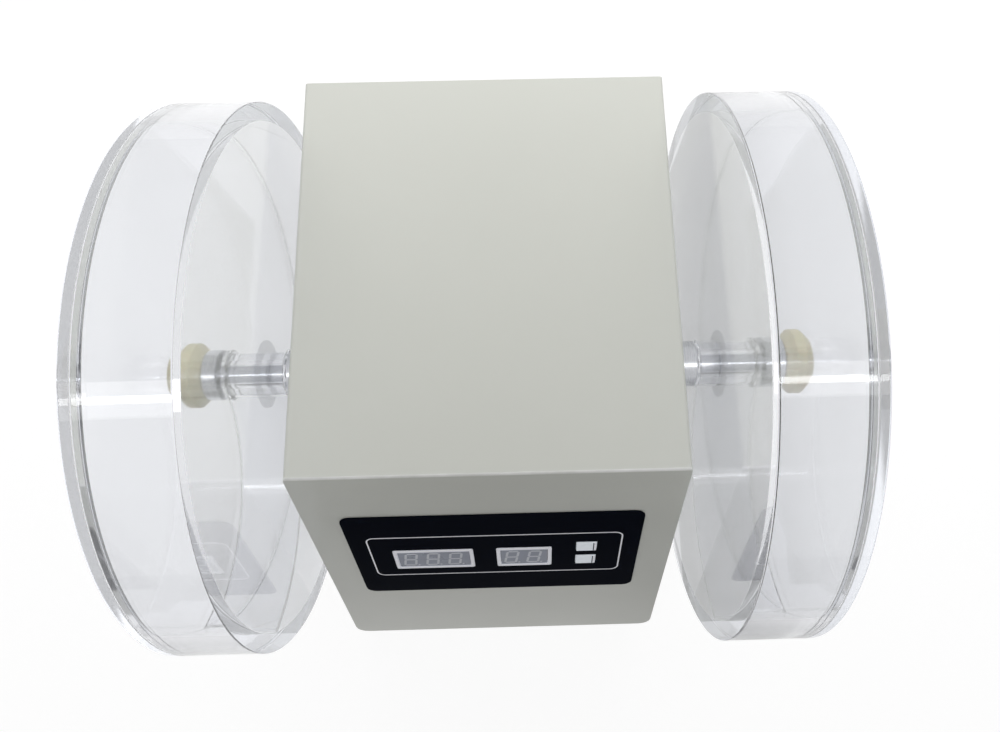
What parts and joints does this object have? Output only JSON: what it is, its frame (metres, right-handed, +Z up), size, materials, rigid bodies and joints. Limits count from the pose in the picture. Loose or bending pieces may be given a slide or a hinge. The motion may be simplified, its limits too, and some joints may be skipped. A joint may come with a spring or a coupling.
{
  "type": "tablet friability tester",
  "caption": "Benchtop tablet friability tester: sloped-front cream casing, lit counters and keys, and clear tumbling drums clamped on one driven shaft",
  "frame": {"origin": "on the surface it stands on, under the middle of the whole part's box", "axes": "+X along the drums' shaft to the user's right, +Y from the sloped front to the rear, +Z up"},
  "size_m": [0.3762, 0.3342, 0.325],
  "materials": {
    "cream_enamel": "satin warm white enamel with a fine texture",
    "label_film": "blue-black printed film, semi-gloss",
    "bezel_plastic": "light grey, satin",
    "display_face": "grey digit module under a clear face",
    "key_plastic": "pale blue-grey, satin",
    "clear_acrylic": "clear, polished",
    "cream_nylon": "cream, machined satin",
    "turned_steel": "turned, bright",
    "aluminium": "turned, satin",
    "black_rubber": "matte black",
    "black_plastic": "moulded, satin black",
    "circuit_board": "green solder mask",
    "copper_winding": "enamelled copper winding",
    "core_iron": "varnished iron laminations",
    "brass": "machined",
    "frame_steel": "zinc-plated sheet"
  },
  "bodies": {
    "casing": {"casing_shell": "cream_enamel", "rear_panel": "cream_enamel", "base_plate": "frame_steel", "front_label": "label_film", "revolutions_bezel": "bezel_plastic", "speed_bezel": "bezel_plastic", "revolutions_display": "display_face", "speed_display": "display_face", "start_key_switch": "black_plastic", "reverse_key_switch": "black_plastic", "display_board": "circuit_board", "display_carrier": "black_plastic", "drive_frame": "frame_steel", "motor_gearbox": "frame_steel", "motor_can": "turned_steel", "optical_sensor": "black_plastic", "board_tray": "black_plastic", "control_board": "circuit_board", "transformer_core": "core_iron", "transformer_coil": "copper_winding", "mains_inlet": "black_plastic", "fuse_holder": "black_plastic", "power_switch_body": "black_plastic", "rubber_foot_front_left": "black_rubber", "rubber_foot_rear_left": "black_rubber", "rubber_foot_front_right": "black_rubber", "rubber_foot_rear_right": "black_rubber", "left_bearing_housing": "aluminium", "left_shaft_bearing": "turned_steel", "right_bearing_housing": "aluminium", "right_shaft_bearing": "turned_steel"},
    "shaft": {"main_shaft": "turned_steel", "drive_gear": "brass", "sensor_disc": "black_plastic", "left_stop_ring": "turned_steel", "right_stop_ring": "turned_steel", "left_drive_collar": "aluminium", "right_drive_collar": "aluminium"},
    "pinion": {"motor_pinion": "turned_steel", "motor_shaft": "turned_steel"},
    "start_key": {"start_key": "key_plastic"},
    "reverse_key": {"reverse_key": "key_plastic"},
    "power_rocker": {"power_switch_rocker": "black_plastic"},
    "left_drum": {"left_drum_ring": "clear_acrylic", "left_drum_wall": "clear_acrylic", "left_hub_tube": "clear_acrylic", "left_hub_flange": "clear_acrylic", "left_drum_vane": "clear_acrylic"},
    "left_cover": {"left_drum_cover": "clear_acrylic"},
    "left_nut": {"left_clamp_washer": "aluminium", "left_clamp_nut": "cream_nylon"},
    "right_drum": {"right_drum_ring": "clear_acrylic", "right_drum_wall": "clear_acrylic", "right_hub_tube": "clear_acrylic", "right_hub_flange": "clear_acrylic", "right_drum_vane": "clear_acrylic"},
    "right_cover": {"right_drum_cover": "clear_acrylic"},
    "right_nut": {"right_clamp_washer": "aluminium", "right_clamp_nut": "cream_nylon"}
  },
  "joints": [
    {"name": "shaft_turn", "type": "hinge", "parent": "casing", "child": "shaft", "pos_m": [-0.00175, -0.00765, 0.172], "axis": [1, 0, 0], "continuous": true},
    {"name": "pinion_turn", "type": "hinge", "parent": "casing", "child": "pinion", "pos_m": [-0.00175, -0.00765, 0.1315], "axis": [1, 0, 0], "continuous": true},
    {"name": "left_drum_slide", "type": "slide", "parent": "shaft", "child": "left_drum", "axis": [-1, 0, 0], "range_m": [0, 0.075]},
    {"name": "left_cover_slide", "type": "slide", "parent": "left_drum", "child": "left_cover", "axis": [-1, 0, 0], "range_m": [0, 0.05]},
    {"name": "left_nut_slide", "type": "slide", "parent": "left_cover", "child": "left_nut", "axis": [-1, 0, 0], "range_m": [0, 0.04]},
    {"name": "right_drum_slide", "type": "slide", "parent": "shaft", "child": "right_drum", "axis": [1, 0, 0], "range_m": [0, 0.075]},
    {"name": "right_cover_slide", "type": "slide", "parent": "right_drum", "child": "right_cover", "axis": [1, 0, 0], "range_m": [0, 0.05]},
    {"name": "right_nut_slide", "type": "slide", "parent": "right_cover", "child": "right_nut", "axis": [1, 0, 0], "range_m": [0, 0.04]},
    {"name": "start_key_press", "type": "slide", "parent": "casing", "child": "start_key", "axis": [0, 0.9042, -0.4271], "range_m": [0, 0.001], "stiffness_N_per_m": 1000},
    {"name": "reverse_key_press", "type": "slide", "parent": "casing", "child": "reverse_key", "axis": [0, 0.9042, -0.4271], "range_m": [0, 0.001], "stiffness_N_per_m": 1000},
    {"name": "power_rocker_tilt", "type": "hinge", "parent": "casing", "child": "power_rocker", "pos_m": [0.04625, 0.16135, 0.06], "axis": [1, 0, 0], "range_deg": [-18, 0]}
  ],
  "couplings": [
    {"joint": "pinion_turn", "follows": "shaft_turn", "ratio": -2}
  ]
}
